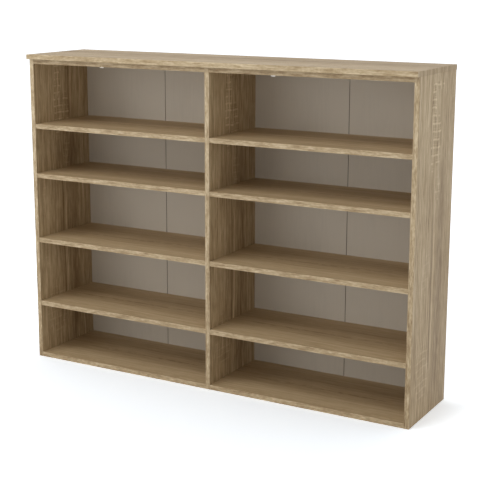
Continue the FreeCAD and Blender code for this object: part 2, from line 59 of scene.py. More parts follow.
# The camera, solved from the edges of the boards in the 480 x 480 photograph.
IMAGE_WIDTH = 480
FOCAL_LENGTH = 1183.24
CENTRE_COLUMN = 232.80
CENTRE_ROW = 220.82
SENSOR_WIDTH = 36
CAMERA_PLACE = (2.1494, -3.7050, 1.5065)
CAMERA_AZIMUTH = 29.973
CAMERA_DROP = 11.881
CAMERA_ROLL = 0.029
VIEW_REACH = 500

# The corners of a square about the origin.
SQUARE = [(-1, -1), (1, -1), (1, 1), (-1, 1)]


# Noise of the materials: cycles per metre in three directions, detail and roughness.
# The directions are along, across and through a board of wood effect, and otherwise X, Y and Z.
NOISES = {
    "sway": ((2.6, 7.0, 7.0), 2.0, 0.5),
    "bands": ((0.7, 16.0, 16.0), 2.0, 0.5),
    "grain": ((3.0, 95.0, 95.0), 3.0, 0.6),
    "short_grain": ((15.0, 95.0, 95.0), 3.0, 0.6),
    "dashes": ((18.0, 190.0, 190.0), 2.0, 0.6),
    "fine": ((14.0, 620.0, 620.0), 3.0, 0.6),
    "breaks": ((38.0, 70.0, 70.0), 1.0, 0.5),
    "pores": ((60.0, 900.0, 900.0), 1.0, 0.5),
    "specks": ((62.0, 210.0, 210.0), 2.0, 0.6),
    "rubbed": ((16.0, 40.0, 40.0), 2.0, 0.5),
    "sawn": ((3.4, 13.0, 13.0), 1.0, 0.5),
    "saw_gaps": ((24.0, 230.0, 230.0), 1.0, 0.5),
    "saw_bend": ((5.0, 16.0, 16.0), 2.0, 0.5),
    "saw_breaks": ((30.0, 55.0, 55.0), 1.0, 0.5),
    "saw_rails": ((9.0, 115.0, 115.0), 1.0, 0.5),
    "print_cloud": ((5.0, 5.0, 2.0), 3.0, 0.5),
    "print_grain": ((160.0, 160.0, 9.0), 3.0, 0.6),
    "board_fibre": ((420.0, 420.0, 420.0), 4.0, 0.7),
    "board_flakes": ((90.0, 90.0, 90.0), 3.0, 0.7),
    "tape_fibre": ((700.0, 700.0, 60.0), 3.0, 0.6),
    "tape_wrinkle": ((60.0, 60.0, 6.0), 3.0, 0.5),
    "zinc_cloud": ((260.0, 260.0, 260.0), 3.0, 0.6),
}

# Most of a noise lies between these two.
NOISE_LOW = 0.3
NOISE_HIGH = 0.7

# Where a noise starts to show as patches, and where it shows in full.
CUTS = {
    "breaks": (0.40, 0.56),
    "pores": (0.64, 0.72),
    "rubbed": (0.42, 0.62),
    "sawn": (0.62, 0.76),
    "saw_gaps": (0.50, 0.64),
    "saw_breaks": (0.36, 0.50),
    "saw_rails": (0.56, 0.68),
}


# Nodes

def new_material(name):
    material = bpy.data.materials.new(name)
    material.use_nodes = True
    tree = material.node_tree
    tree.nodes.clear()
    output = tree.nodes.new("ShaderNodeOutputMaterial")
    return material, tree, output


def feed(tree, socket, value):
    """Links a socket to a socket, or sets it to a constant."""
    if isinstance(value, bpy.types.NodeSocket):
        tree.links.new(value, socket)
    elif value is not None:
        socket.default_value = value


def calc(tree, operation, first, second=None, third=None, clamp=False):
    node = tree.nodes.new("ShaderNodeMath")
    node.operation = operation
    node.use_clamp = clamp
    for socket, value in zip(node.inputs, (first, second, third)):
        feed(tree, socket, value)
    return node.outputs[0]


def spread(tree, value, low, high, to_low=0.0, to_high=1.0):
    """Maps a range to another, smoothly and clamped."""
    node = tree.nodes.new("ShaderNodeMapRange")
    node.interpolation_type = "SMOOTHSTEP"
    for name, part in (("Value", value), ("From Min", low), ("From Max", high),
                       ("To Min", to_low), ("To Max", to_high)):
        feed(tree, node.inputs[name], part)
    return node.outputs[0]


def choose(tree, share, first, second):
    """The first number where the share is 0, and the second where it is 1."""
    return spread(tree, share, 0.0, 1.0, first, second)


def vector(tree, x, y, z):
    node = tree.nodes.new("ShaderNodeCombineXYZ")
    for socket, value in zip(node.inputs, (x, y, z)):
        feed(tree, socket, value)
    return node.outputs[0]


def stretched(tree, place, frequencies):
    """A place in cycles, from cycles per metre in three directions."""
    node = tree.nodes.new("ShaderNodeVectorMath")
    node.operation = "MULTIPLY"
    feed(tree, node.inputs[0], place)
    node.inputs[1].default_value = frequencies
    return node.outputs[0]


def noise(tree, place, name):
    """The noise of a row of NOISES."""
    frequencies, detail, roughness = NOISES[name]
    node = tree.nodes.new("ShaderNodeTexNoise")
    feed(tree, node.inputs["Vector"], stretched(tree, place, frequencies))
    node.inputs["Scale"].default_value = 1.0
    node.inputs["Detail"].default_value = detail
    node.inputs["Roughness"].default_value = roughness
    return node.outputs["Fac"]


def patches(tree, place, name, to_low=0.0, to_high=1.0):
    """The noise of a row, cut into patches by its row of CUTS."""
    return spread(tree, noise(tree, place, name), *CUTS[name], to_low, to_high)


def mean(tree, first, second):
    return calc(tree, "MULTIPLY_ADD", first, 0.5, calc(tree, "MULTIPLY", second, 0.5))


def centred(tree, value, strength):
    """A noise value about its middle, times a strength."""
    return calc(tree, "MULTIPLY_ADD", value, strength, -strength / 2)


def shaded(colour, factor):
    return tuple(factor * part for part in colour)


def ramp(tree, value, stops):
    node = tree.nodes.new("ShaderNodeValToRGB")
    elements = node.color_ramp.elements
    while len(elements) < len(stops):
        elements.new(0.5)
    for element, (position, colour) in zip(elements, stops):
        element.position = position
        element.color = (*colour, 1.0)
    feed(tree, node.inputs["Fac"], value)
    return node.outputs["Color"]


def two_tone(tree, value, dark, pale, high=NOISE_HIGH):
    """From the dark colour to the pale one over the range of a noise."""
    return ramp(tree, value, [(NOISE_LOW, dark), (high, pale)])


def blend_colours(tree, kind, share, first, second):
    node = tree.nodes.new("ShaderNodeMix")
    node.data_type = "RGBA"
    node.blend_type = kind
    feed(tree, node.inputs["Factor"], share)
    for name, value in (("A", first), ("B", second)):
        socket = [item for item in node.inputs if item.name == name and item.type == "RGBA"][0]
        feed(tree, socket, (*value, 1.0) if isinstance(value, tuple) else value)
    return [item for item in node.outputs if item.type == "RGBA"][0]


def surface(tree, output, colour, roughness, height, relief, **constants):
    """The finished surface, with a relief in metres."""
    shader = tree.nodes.new("ShaderNodeBsdfPrincipled")
    feed(tree, shader.inputs["Base Color"], colour)
    feed(tree, shader.inputs["Roughness"], roughness)
    for name, value in constants.items():
        shader.inputs[name.replace("_", " ")].default_value = value
    bump = tree.nodes.new("ShaderNodeBump")
    bump.inputs["Distance"].default_value = relief
    feed(tree, bump.inputs["Height"], height)
    tree.links.new(bump.outputs["Normal"], shader.inputs["Normal"])
    tree.links.new(shader.outputs[0], output.inputs["Surface"])


def object_place(tree):
    """The three coordinates of a point in the model."""
    node = tree.nodes.new("ShaderNodeTexCoord")
    split = tree.nodes.new("ShaderNodeSeparateXYZ")
    tree.links.new(node.outputs["Object"], split.inputs[0])
    return split.outputs


def facing(tree):
    """The three parts of the surface's outward direction."""
    node = tree.nodes.new("ShaderNodeNewGeometry")
    split = tree.nodes.new("ShaderNodeSeparateXYZ")
    tree.links.new(node.outputs["True Normal"], split.inputs[0])
    return split.outputs


# Wood effect. Rough-sawn oak: long streaks, a few dark ones, short dashes, pores and rungs of saw marks,
# with painted light and shade on the level boards: bands across their depth and steps on their front edges
# by height.
# Tone runs from 0, dark, to 1, light.

OAK_DARK = (0.215, 0.134, 0.058)
OAK_MIDDLE = (0.460, 0.343, 0.199)
OAK_LIGHT = (0.740, 0.610, 0.405)
OAK_STOPS = [(0.08, OAK_DARK), (0.50, OAK_MIDDLE), (0.94, OAK_LIGHT)]
OAK_ROUGHNESS = (0.64, 0.52)
# The relief in metres, and the shares of it that the finest grain, the saw marks and the pores take.
OAK_RELIEF = 0.00012
FINE_HEIGHT = 0.5
SAW_MARK_HEIGHT = 0.4
PORE_HEIGHT = 0.6
CHIP_STOPS = [(0.15, (0.210, 0.130, 0.065)), (0.85, (0.560, 0.420, 0.260))]
CHIP_FREQUENCIES = (260.0, 600.0, 600.0)

MIDDLE_TONE = 0.5
SWAY = 0.030
BAND_STRENGTH = 0.50
GRAIN_STRENGTH = 0.95
DASH_STRENGTH = 0.95
FINE_STRENGTH = 0.45
SPECK_STRENGTH = 0.9
SLOPE_CENTRE = 0.75
STRIPE_FADE = 0.12
PATCH_RIM = 0.60
PORE_DEPTH = 0.14

SAW_PITCH = 0.0259
SAW_BEND = 4.5
SAW_BAR_CUT = (0.55, 0.95)
SAW_BETWEEN_CUT = (0.70, 1.0)
SAW_BETWEEN = 0.45
SAW_RAIL = 0.75
SAWN_ANYWHERE = 0.30
SAW_MARK_LIFT = 0.33
SAW_GAP_DEPTH = (0.04, 0.26)

BAND_JOINT_WIDTH = 0.0005
BAND_JOINT_DEPTH = 0.30
BEVEL_WEAR = (0.04, 0.24)

# Limits of the outward direction's Y part: a front edge, the flat of it, and a rear edge.
EDGE_LIMIT = -0.5
FLAT_EDGE_LIMIT = -0.95
REAR_LIMIT = 0.9


def patch(tree, along, across, centre, half_size):
    """One inside an oval patch of the board, fading to nothing at its rim."""
    reach = []
    for value, middle, half in zip((along, across), centre, half_size):
        offset = calc(tree, "DIVIDE", calc(tree, "SUBTRACT", value, middle), half)
        reach.append(calc(tree, "MULTIPLY", offset, offset))
    return spread(tree, calc(tree, "ADD", *reach), 1.0, PATCH_RIM)


def line(tree, along, across, centre, half_width, low, high):
    """One on a long thin streak, or on a broad band of painted light or shade, and nothing off it."""
    offset = calc(tree, "ABSOLUTE", calc(tree, "SUBTRACT", across, centre))
    width = spread(tree, offset, half_width, 0.0)
    start = spread(tree, along, low, low + STRIPE_FADE)
    stop = spread(tree, along, high, high - STRIPE_FADE)
    return calc(tree, "MULTIPLY", width, calc(tree, "MULTIPLY", start, stop))


def rungs(tree, place, along):
    """Bright bars across the grain, one each pitch, with fainter ones between, thin rails and breaks."""
    bend = centred(tree, noise(tree, place, "saw_bend"), SAW_BEND)
    turns = calc(tree, "MULTIPLY_ADD", along, 2 * math.pi / SAW_PITCH, bend)
    bars = spread(tree, calc(tree, "SINE", turns), *SAW_BAR_CUT)
    twice = calc(tree, "SINE", calc(tree, "MULTIPLY", turns, 2.0))
    between = spread(tree, twice, *SAW_BETWEEN_CUT, 0.0, SAW_BETWEEN)
    bars = calc(tree, "MAXIMUM", bars, between)
    bars = calc(tree, "MULTIPLY", bars, patches(tree, place, "saw_breaks"))
    rails = patches(tree, place, "saw_rails", 0.0, SAW_RAIL)
    return calc(tree, "MAXIMUM", bars, rails)


def grain_tone(tree, place, along, edge, slope):
    """The tone of the plain grain, and its main and its finest layer. Front edges have short grain."""
    bands = choose(tree, edge, noise(tree, place, "bands"), MIDDLE_TONE)
    grain = choose(tree, edge, noise(tree, place, "grain"), noise(tree, place, "short_grain"))
    dashes = noise(tree, place, "dashes")
    fine = noise(tree, place, "fine")
    tone = MIDDLE_TONE
    for value, strength in ((bands, BAND_STRENGTH), (grain, GRAIN_STRENGTH),
                            (dashes, DASH_STRENGTH), (fine, FINE_STRENGTH)):
        tone = calc(tree, "ADD", tone, centred(tree, value, strength))
    slant = calc(tree, "MULTIPLY_ADD", along, slope, -slope * SLOPE_CENTRE)
    return calc(tree, "ADD", tone, slant), grain, fine


def streak_and_painted_light_tone(tree, place, along, across, rows):
    """The change of tone on the long streaks, and the painted light and shade of the broad bands among
    them.
    """
    breaks = patches(tree, place, "breaks")
    total = 0.0
    for centre, half_width, low, high, change, broken in rows:
        stripe = line(tree, along, across, centre, half_width, low, high)
        if broken:
            stripe = calc(tree, "MULTIPLY", stripe, breaks)
        total = calc(tree, "MULTIPLY_ADD", stripe, change, total)
    return total


def sawn_areas(tree, place, along, across, rows):
    """How far the board is rough-sawn: faintly here and there, and in the patches of its rows."""
    sawn = patches(tree, place, "sawn", 0.0, SAWN_ANYWHERE)
    for centre, half_size, strength in rows:
        here = calc(tree, "MULTIPLY", patch(tree, along, across, centre, half_size), strength)
        sawn = calc(tree, "MAXIMUM", sawn, here)
    return sawn


def edge_tone(tree, place, along, thick, board):
    """The change of tone on a front edge: specks, painted light and shade in steps from board to board,
    and runs along it.
    """
    total = centred(tree, noise(tree, place, "specks"), SPECK_STRENGTH)
    for value, rows in ((thick, board["edge_light_steps"]), (along, board["edge_runs"])):
        for low, high, change in rows:
            total = calc(tree, "ADD", total, spread(tree, value, low, high, 0.0, change))
    return total


def chipboard(tree, place):
    chips = tree.nodes.new("ShaderNodeTexVoronoi")
    chips.inputs["Scale"].default_value = 1.0
    tree.links.new(stretched(tree, place, CHIP_FREQUENCIES), chips.inputs["Vector"])
    return ramp(tree, chips.outputs["Color"], CHIP_STOPS)


def oak(name, board):
    """The wood effect of one kind of board, from its row of BOARDS."""
    material, tree, output = new_material(name)
    along, across, thick = board["places"](tree)
    flat_place = vector(tree, along, across, thick)
    sway = centred(tree, noise(tree, flat_place, "sway"), SWAY)
    swayed = calc(tree, "ADD", across, sway)
    place = vector(tree, along, swayed, thick)
    backwards = facing(tree)[1]
    edge = calc(tree, "LESS_THAN", backwards, EDGE_LIMIT)

    tone, grain, fine = grain_tone(tree, place, along, edge, board["slope"])
    # The streaks, and on level boards the broad bands of painted light and shade.
    tone = calc(tree, "ADD", tone, streak_and_painted_light_tone(tree, place, along, swayed, board["streaks_and_painted_light"]))
    sawn = sawn_areas(tree, place, along, across, board["sawn"])
    marks = calc(tree, "MULTIPLY", rungs(tree, flat_place, along), sawn)
    tone = calc(tree, "MULTIPLY_ADD", marks, SAW_MARK_LIFT, tone)
    gaps = patches(tree, place, "saw_gaps", *SAW_GAP_DEPTH)
    tone = calc(tree, "SUBTRACT", tone, calc(tree, "MULTIPLY", sawn, gaps))
    pores = patches(tree, place, "pores")
    tone = calc(tree, "MULTIPLY_ADD", pores, -PORE_DEPTH, tone)

    # Specks and runs on front edges, and the steps of painted light and shade on those of level boards.
    on_edge = edge_tone(tree, flat_place, along, thick, board)
    tone = calc(tree, "MULTIPLY_ADD", edge, on_edge, tone)
    contrast = choose(tree, edge, board["face_contrast"], board["edge_contrast"])
    tone = calc(tree, "SUBTRACT", tone, MIDDLE_TONE)
    tone = calc(tree, "MULTIPLY_ADD", tone, contrast, MIDDLE_TONE)
    tone = calc(tree, "MULTIPLY_ADD", edge, board["edge_lift"], tone)

    bevel = calc(tree, "MULTIPLY", edge, calc(tree, "GREATER_THAN", backwards, FLAT_EDGE_LIMIT))
    wear = calc(tree, "MULTIPLY", bevel, patches(tree, flat_place, "rubbed", *BEVEL_WEAR))
    from_joint = calc(tree, "ABSOLUTE", calc(tree, "SUBTRACT", across, board["band_joint"]))
    joint = spread(tree, from_joint, BAND_JOINT_WIDTH, 0.0, 0.0, BAND_JOINT_DEPTH)
    tone = calc(tree, "SUBTRACT", calc(tree, "ADD", tone, wear), joint, clamp=True)

    colour = ramp(tree, tone, OAK_STOPS)
    tinted = blend_colours(tree, "MULTIPLY", 1.0, colour, board["face_tint"])
    colour = blend_colours(tree, "MIX", edge, tinted, colour)
    rear = calc(tree, "GREATER_THAN", backwards, REAR_LIMIT)
    colour = blend_colours(tree, "MIX", rear, colour, chipboard(tree, flat_place))

    roughness = spread(tree, grain, NOISE_LOW, NOISE_HIGH, *OAK_ROUGHNESS)
    height = calc(tree, "MULTIPLY_ADD", fine, FINE_HEIGHT, calc(tree, "MULTIPLY", marks, SAW_MARK_HEIGHT))
    height = calc(tree, "MULTIPLY_ADD", pores, -PORE_HEIGHT, height)
    surface(tree, output, colour, roughness, height, OAK_RELIEF, Specular_IOR_Level=board["specular"])
    return material


def upright_places(tree):
    """Along is height, across is depth behind the front edge."""
    x, y, z = object_place(tree)
    return z, calc(tree, "SUBTRACT", y, FRONT_Y), x


def level_places(tree):
    """Along is the distance from the middle of the bay, across is depth behind the front edge."""
    x, y, z = object_place(tree)
    half = BAY_PITCH / 2
    along = calc(tree, "WRAP", calc(tree, "SUBTRACT", x, half), half, -half)
    return along, calc(tree, "SUBTRACT", y, FRONT_Y), z


def top_places(tree):
    """As a level board, but its cut ends carry on the grain of the sides below them."""
    x, y, z = object_place(tree)
    end = calc(tree, "GREATER_THAN", calc(tree, "ABSOLUTE", facing(tree)[0]), 0.5)
    face = calc(tree, "SUBTRACT", 1.0, end)
    along = calc(tree, "ADD", calc(tree, "MULTIPLY", x, face), calc(tree, "MULTIPLY", z, end))
    thick = calc(tree, "ADD", calc(tree, "MULTIPLY", z, face), calc(tree, "MULTIPLY", x, end))
    return along, calc(tree, "SUBTRACT", y, FRONT_Y), thick


# Streaks and painted light: place across the board, half width, ends along it, change of tone, and whether
# it is in dashes.
# Sawn: centre along and across the board, half sizes and strength.
# Band joint: the place across the board of the thin line behind the edge band.
# Edge light steps and edge runs: from where to where the tone of a front edge changes, and by how much.
# Light steps are painted light and shade, going by the third direction of the board, which is height on a
# level board, and runs go along it.
# Slope: change of tone for each metre along.
BOARDS = {
    "upright_board": {
        "places": upright_places,
        "streaks_and_painted_light": [
            (0.160, 0.008, 0.10, 0.74, -0.42, False),
            (0.178, 0.007, 0.12, 0.70, 0.26, False),
            (0.213, 0.008, 0.86, 1.30, -0.14, False),
            (0.120, 0.110, 0.78, 1.50, 0.12, False),
            (0.228, 0.055, 0.00, 0.94, -0.22, False),
            (0.012, 0.006, 0.30, 1.30, 0.20, False),
            (0.147, 0.005, 1.02, 1.20, 0.34, False),
        ],
        "sawn": [
            ((1.010, 0.140), (0.175, 0.028), 1.0),
            ((0.955, 0.184), (0.100, 0.032), 1.0),
            ((1.141, 0.175), (0.016, 0.060), 1.0),
            ((0.800, 0.192), (0.060, 0.028), 0.5),
            ((0.170, 0.102), (0.110, 0.072), 0.42),
        ],
        "edge_light_steps": [],
        "edge_runs": [(0.35, 0.75, 0.045)],
        "edge_lift": 0.0,
        "edge_contrast": 1.0,
        "face_contrast": 0.90,
        "face_tint": (1.0, 0.978, 0.945),
        "band_joint": 0.0010,
        "slope": 0.08,
        "specular": 0.5,
    },
    "level_board": {
        "places": level_places,
        "streaks_and_painted_light": [
            (0.168, 0.007, -0.34, 0.32, -0.62, True),
            (0.160, 0.004, -0.24, 0.20, -0.30, True),
            (0.190, 0.016, -0.34, 0.30, 0.14, False),
            # Painted light and shade across the depth of each bay: a lit strip behind the front edge, a
            # shaded band further back and a lit strip at the rear.
            (0.066, 0.066, -0.60, 0.60, 0.24, False),
            (0.230, 0.060, -0.60, 0.60, -0.22, False),
            (0.330, 0.045, -0.60, 0.60, 0.30, False),
            (0.018, 0.007, -0.60, 0.60, 0.30, True),
        ],
        "sawn": [],
        # Painted light and shade on the front edges: lighter on higher shelves, which get more light from
        # above the front, and darker on the upper panel, shaded by the top's overhang.
        "edge_light_steps": [
            (0.10, 0.20, 0.015),
            (0.23, 0.40, 0.06),
            (0.55, 0.70, -0.02),
            (1.05, 1.15, -0.06),
        ],
        "edge_runs": [
            (-0.37, -0.28, 0.045),
            (0.24, 0.36, 0.07),
        ],
        "edge_lift": -0.085,
        "edge_contrast": 0.85,
        "face_contrast": 0.38,
        "face_tint": (1.0, 0.966, 0.925),
        "band_joint": 0.0020,
        "slope": 0.0,
        "specular": 0.45,
    },
    "top_board": {
        "places": top_places,
        "streaks_and_painted_light": [
            (0.120, 0.012, -0.60, 0.30, -0.30, False),
            (0.210, 0.016, -0.20, 0.70, -0.26, False),
            (0.050, 0.030, -0.70, 0.60, 0.08, False),
            (0.290, 0.020, -0.90, 0.10, 0.20, False),
            (0.215, 0.090, -1.50, 1.10, -0.26, False),
        ],
        "sawn": [((0.48, 0.030), (0.150, 0.060), 0.4)],
        "edge_light_steps": [],
        "edge_runs": [
            (-0.40, -0.25, 0.065),
            (-0.16, -0.04, 0.10),
            (-0.02, 0.04, 0.045),
            (0.13, 0.17, -0.045),
            (0.17, 0.26, -0.11),
        ],
        "edge_lift": 0.06,
        "edge_contrast": 0.75,
        "face_contrast": 0.72,
        "face_tint": (1.0, 1.0, 1.03),
        "band_joint": -0.0170,
        "slope": 0.0,
        "specular": 0.3,
    },
}


# Other materials

PRINTED_FACE = (0.575, 0.525, 0.445)
PRINT_HIGH = 0.75
PRINT_CLOUD_STRENGTH = 0.5
PRINT_GRAIN_STRENGTH = 0.36
PRINT_BASE = 0.32
RAW_FIBRE = (0.290, 0.185, 0.100)
# A darker rim on the printed face along both sides of the gap between the back's leaves, which widens the
# dark line there.
CUT_RIM = (0.210, 0.165, 0.120)
CUT_RIM_REACH = (0.0015, 0.0010)
PRINT_ROUGHNESS = 0.55
RAW_ROUGHNESS = 0.85
HARDBOARD_RELIEF = 0.00008
# Nearly black, so the line that shows through that gap is dark.
TAPE_COLOUR = (0.048, 0.036, 0.026)
TAPE_ROUGHNESS = 0.60
TAPE_SPECULAR = 0.3
TAPE_RELIEF = 0.0003
ZINC_COLOUR = (0.72, 0.70, 0.66)
CAST_COLOUR = (0.50, 0.50, 0.49)
ZINC_RELIEF = 0.00003
FITTING_ROUGHNESS = 0.34
PLATED_ROUGHNESS = 0.30
CAST_ROUGHNESS = 0.46
BRACKET_COLOUR = (0.71, 0.67, 0.60)
BRACKET_ROUGHNESS = 0.26
BRACKET_BOW = 0.20


def hardboard():
    """Thin fibre board: printed on its front, raw and brown on its rear."""
    material, tree, output = new_material("hardboard")
    x, y, z = object_place(tree)
    place = vector(tree, x, y, z)
    rear = calc(tree, "GREATER_THAN", facing(tree)[1], 0.5)

    cloud = calc(tree, "MULTIPLY_ADD", noise(tree, place, "print_cloud"), PRINT_CLOUD_STRENGTH, PRINT_BASE)
    tint = calc(tree, "MULTIPLY_ADD", noise(tree, place, "print_grain"), PRINT_GRAIN_STRENGTH, cloud)
    printed = two_tone(tree, tint, shaded(PRINTED_FACE, 0.90), shaded(PRINTED_FACE, 1.08), PRINT_HIGH)
    from_fold = calc(tree, "ABSOLUTE", calc(tree, "SUBTRACT", calc(tree, "ABSOLUTE", x), FOLD_X))
    rim = spread(tree, from_fold, *CUT_RIM_REACH)
    printed = blend_colours(tree, "MIX", rim, printed, CUT_RIM)

    fibre = noise(tree, place, "board_fibre")
    mottle = mean(tree, fibre, noise(tree, place, "board_flakes"))
    brown = two_tone(tree, mottle, shaded(RAW_FIBRE, 0.72), shaded(RAW_FIBRE, 1.35))

    colour = blend_colours(tree, "MIX", rear, printed, brown)
    roughness = choose(tree, rear, PRINT_ROUGHNESS, RAW_ROUGHNESS)
    surface(tree, output, colour, roughness, fibre, HARDBOARD_RELIEF)
    return material


def tape():
    """Paper tape with a slight crease and lengthwise fibres."""
    material, tree, output = new_material("tape")
    place = vector(tree, *object_place(tree))
    wrinkle = noise(tree, place, "tape_wrinkle")
    tint = mean(tree, wrinkle, noise(tree, place, "tape_fibre"))
    colour = two_tone(tree, tint, shaded(TAPE_COLOUR, 0.88), shaded(TAPE_COLOUR, 1.10))
    surface(tree, output, colour, TAPE_ROUGHNESS, wrinkle, TAPE_RELIEF, Specular_IOR_Level=TAPE_SPECULAR)
    return material


def zinc(name, colour, roughness):
    """Zinc plating: metal with faint cloudy crystals."""
    material, tree, output = new_material(name)
    cloud = noise(tree, vector(tree, *object_place(tree)), "zinc_cloud")
    tint = two_tone(tree, cloud, shaded(colour, 0.82), colour)
    finish = spread(tree, cloud, NOISE_LOW, NOISE_HIGH, roughness + 0.08, roughness - 0.06)
    surface(tree, output, tint, finish, cloud, ZINC_RELIEF, Metallic=1.0)
    return material


def bracket_zinc():
    """Zinc plating on pressed brackets, whose legs are bowed a little towards the middle of the bay."""
    material, tree, output = new_material("bracket_zinc")
    along, across, thick = level_places(tree)
    cloud = noise(tree, vector(tree, along, across, thick), "zinc_cloud")
    tint = two_tone(tree, cloud, shaded(BRACKET_COLOUR, 0.88), BRACKET_COLOUR)
    bow = calc(tree, "MULTIPLY", calc(tree, "ABSOLUTE", along), BRACKET_BOW)
    surface(tree, output, tint, BRACKET_ROUGHNESS, bow, relief=1.0, Metallic=1.0)
    return material


def dress_nodes():
    """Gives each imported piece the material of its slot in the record."""
    finishes = {kind: oak("oak_" + kind, board) for kind, board in BOARDS.items()}
    finishes.update({
        "back_board": hardboard(),
        "fold_tape": tape(),
        "wall_bracket": bracket_zinc(),
        "fitting": zinc("fitting_zinc", ZINC_COLOUR, FITTING_ROUGHNESS),
    })
    for row in frame["record"]["subparts"]:
        piece = frame["nodes"][row["node"]]
        piece.data.materials.clear()
        piece.data.materials.append(finishes[row["material_slot"]])


# Small metal parts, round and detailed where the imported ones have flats. Each stays in its solid's box.
# A profile is a list of heights on the axis with the radius at each, from one end to the other.

TURN_STEPS = 32
WELD_DISTANCE = 0.00001
SHARP_ANGLE = 35
CUTTER_FOOT = -0.001

CAM_RADIUS = 0.0075
CAM_PROFILE = [(0, 0), (0.0002, 0.0052), (0.0006, 0.0055), (0.0006, 0.0060), (0.0, 0.0063), (0.0, 0.0071),
               (0.0004, CAM_RADIUS), (0.0122, CAM_RADIUS), (0.0126, 0.0071), (0.0126, 0)]
CAM_SLOT_WIDTH = 0.0016
CAM_SLOT_LENGTH = 0.009
CAM_CROSS_SLOT_LENGTH = 0.006
CAM_SLOT_DEPTH = 0.0024
CAM_SLOT_INSET = 0.0004
ARROW_PLACE = (0.0045, 0, 0)
ARROW_RADIUS = 0.0009
ARROW_DEPTH = 0.0004
MOUTH_RADIUS = 0.0033
MOUTH_LENGTH = 0.010
MOUTH_PLACE = (-0.0015, 0, 0.0087)

# A shelf pin's end: distance from its tip, and radius.
PIN_END = [(0.0034, 0.0025), (0.0031, 0.0022), (0.0028, 0.0022), (0.0025, 0.0025), (0.0010, 0.0025),
           (0.0004, 0.0021), (0.0001, 0.0014)]

SHANK_RADIUS = 0.0020
SUNK_HEAD = [(0, 0), (0, 0.0039), (0.0002, 0.0040), (0.0020, SHANK_RADIUS)]
DOMED_HEAD = [(0, 0), (0.0002, 0.0022), (0.0007, 0.0033), (0.0014, 0.0039), (0.0021, 0.0040),
              (0.0024, 0.0038), (0.0024, SHANK_RADIUS)]
THREAD_START = 0.004
THREAD_PITCH = 0.0016
THREAD_ROOT = 0.0015
THREAD_TURN = [(0, THREAD_ROOT), (0.0007, SHANK_RADIUS), (0.0008, SHANK_RADIUS), (0.0015, THREAD_ROOT)]
PLAIN_LENGTH = 0.006
TIP_LENGTH = 0.0015
TIP_RADIUS = 0.0012
CROSS_WIDTH = 0.0010
CROSS_REACH = 0.0022
CROSS_DEPTH = 0.0016
CROSS_INSET = CROSS_REACH * 0.45

NAIL_HEAD = 0.0008
NAIL_PROFILE = [(-0.0200, 0), (-0.0185, 0.0008), (0, 0.0008), (0, 0.0021), (0.0002, 0.0022),
                (0.0005, 0.0020), (0.0007, 0.0013), (NAIL_HEAD, 0)]


def solid_boxes(node):
    """The box of each separate solid of a node."""
    form = bmesh.new()
    form.from_mesh(frame["nodes"][node].data)
    bmesh.ops.remove_doubles(form, verts=form.verts, dist=WELD_DISTANCE)
    waiting = set(form.verts)
    boxes = []
    while waiting:
        reached = [waiting.pop()]
        for vertex in reached:
            fresh = {edge.other_vert(vertex) for edge in vertex.link_edges} & waiting
            waiting -= fresh
            reached.extend(fresh)
        corners = [vertex.co for vertex in reached]
        low = Vector([min(corner[axis] for corner in corners) for axis in range(3)])
        high = Vector([max(corner[axis] for corner in corners) for axis in range(3)])
        boxes.append((low, high))
    form.free()
    return sorted(boxes, key=lambda box: tuple(round(part, 5) for part in box[0]))


def length_of(node, axis):
    """The length of a node's first solid along an axis."""
    low, high = solid_boxes(node)[0]
    return high[axis] - low[axis]


def turned(profile):
    """A form turned about Z. The first and last points of its profile are on the axis."""
    form = bmesh.new()
    foot = form.verts.new((0, 0, profile[0][0]))
    head = form.verts.new((0, 0, profile[-1][0]))
    turns = [2 * math.pi * step / TURN_STEPS for step in range(TURN_STEPS)]
    rings = [[form.verts.new((radius * math.cos(turn), radius * math.sin(turn), height)) for turn in turns]
             for height, radius in profile[1:-1]]
    for step in range(TURN_STEPS):
        following = (step + 1) % TURN_STEPS
        form.faces.new((foot, rings[0][following], rings[0][step]))
        for lower, upper in zip(rings, rings[1:]):
            form.faces.new((lower[step], lower[following], upper[following], upper[step]))
        form.faces.new((head, rings[-1][step], rings[-1][following]))
    mesh = bpy.data.meshes.new("turned")
    form.to_mesh(mesh)
    form.free()
    return mesh


def rod(low, high, radius):
    return turned([(low, 0), (low, radius), (high, radius), (high, 0)])


def wedge(width, length, depth, inset):
    """A bar that narrows upwards from just below the face at height 0, to cut a recess."""
    form = bmesh.new()
    low = [form.verts.new((x * width / 2, y * length / 2, CUTTER_FOOT)) for x, y in SQUARE]
    inner_length = length - 2 * inset
    inner_width = width - min(inset, width / 2) * 0.5
    high = [form.verts.new((x * inner_width / 2, y * inner_length / 2, depth)) for x, y in SQUARE]
    form.faces.new(low[::-1])
    form.faces.new(high)
    for first in range(4):
        second = (first + 1) % 4
        form.faces.new((low[first], low[second], high[second], high[first]))
    mesh = bpy.data.meshes.new("wedge")
    form.to_mesh(mesh)
    form.free()
    return mesh


def carved(mesh, cutters):
    """The mesh less each of the cutters."""
    body = bpy.data.objects.new("body", mesh)
    scene.collection.objects.link(body)
    tools = []
    for cutter in cutters:
        tool = bpy.data.objects.new("cutter", cutter)
        scene.collection.objects.link(tool)
        modifier = body.modifiers.new("cut", "BOOLEAN")
        modifier.object = tool
        modifier.solver = "EXACT"
        tools.append(tool)
    result = bpy.data.meshes.new_from_object(body.evaluated_get(bpy.context.evaluated_depsgraph_get()))
    for item in [body] + tools:
        bpy.data.objects.remove(item)
    return result


